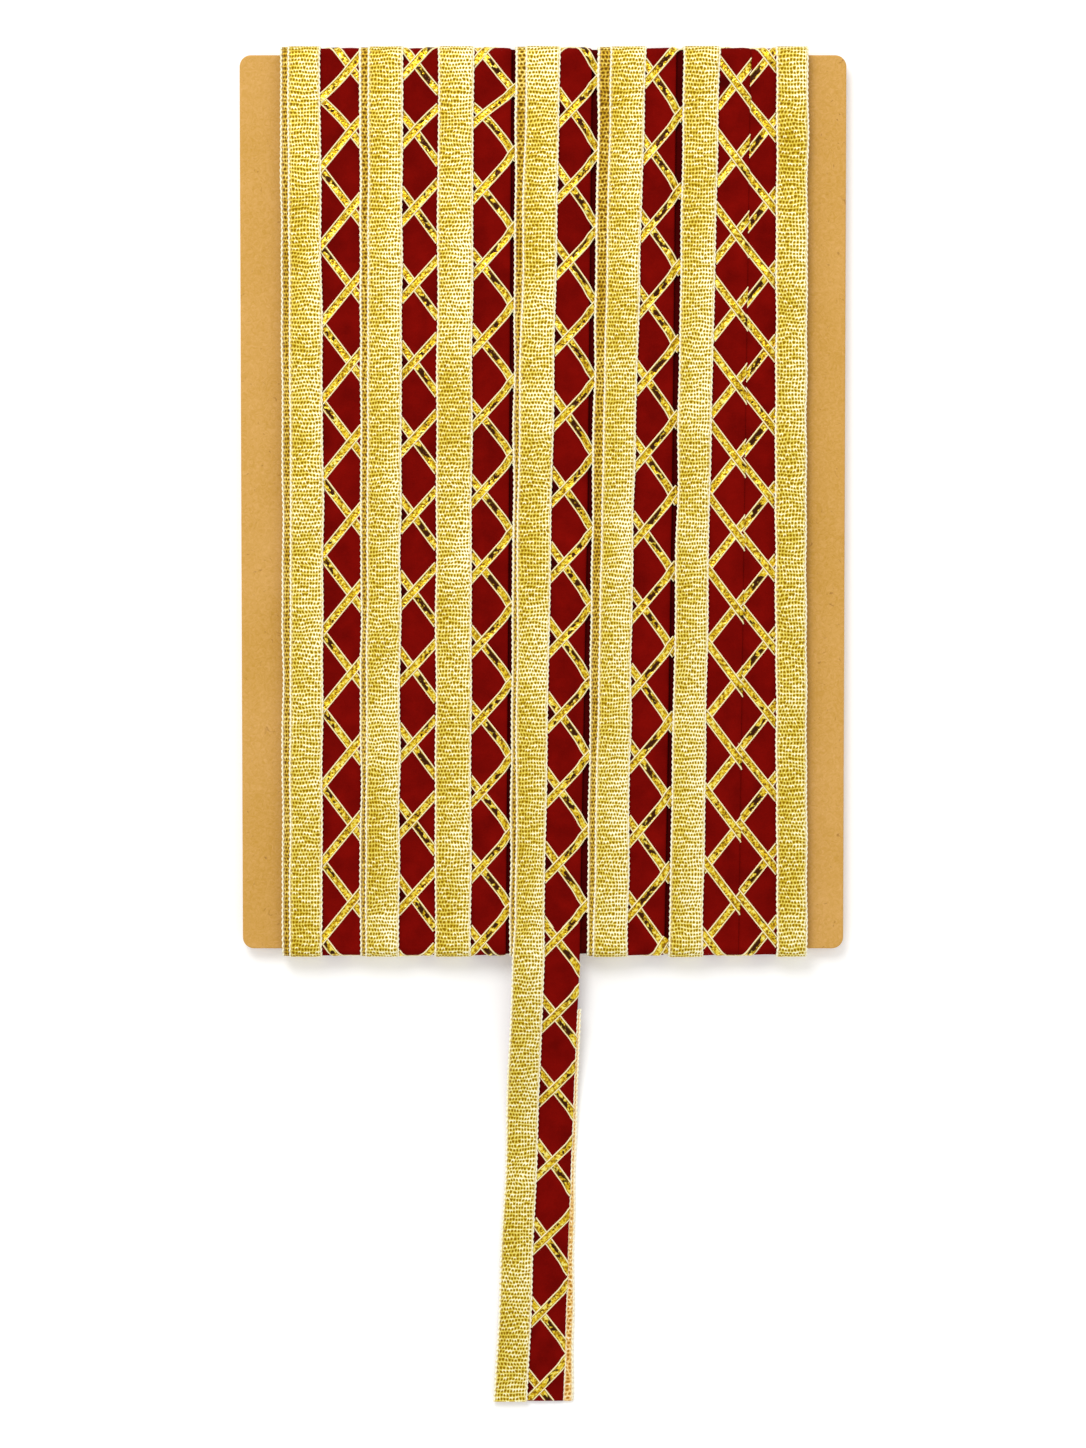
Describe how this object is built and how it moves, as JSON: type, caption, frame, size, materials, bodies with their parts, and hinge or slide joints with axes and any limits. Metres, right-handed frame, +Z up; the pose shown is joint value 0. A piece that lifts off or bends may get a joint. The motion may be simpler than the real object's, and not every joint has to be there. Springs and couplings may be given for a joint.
{
  "type": "lace trim wound on a card",
  "caption": "Gold and red lace trim wound in side-by-side turns round a flat card, with a loose end running past the card's foot; it lies on its back.",
  "frame": {"origin": "on the surface that the card lies on, under the middle of the whole object, loose end included", "axes": "+Z up, out of the card's face; +Y along the card from its foot, where the loose end runs, to its head; +X to the right, seen from above"},
  "size_m": [0.15, 0.3386, 0.0088],
  "materials": {
    "card": "matt fibreboard",
    "gold_tape": "woven metallic thread with cream selvedges",
    "red_ribbon": "matt crimson cloth",
    "gold_foil": "shiny foil ribbon with cream edge threads"
  },
  "bodies": {
    "root": {"card": "card", "wound_trim": "gold_tape", "loose_ribbon": "red_ribbon", "loose_tape": "gold_tape", "loose_back_tape": "gold_tape"}
  },
  "joints": []
}
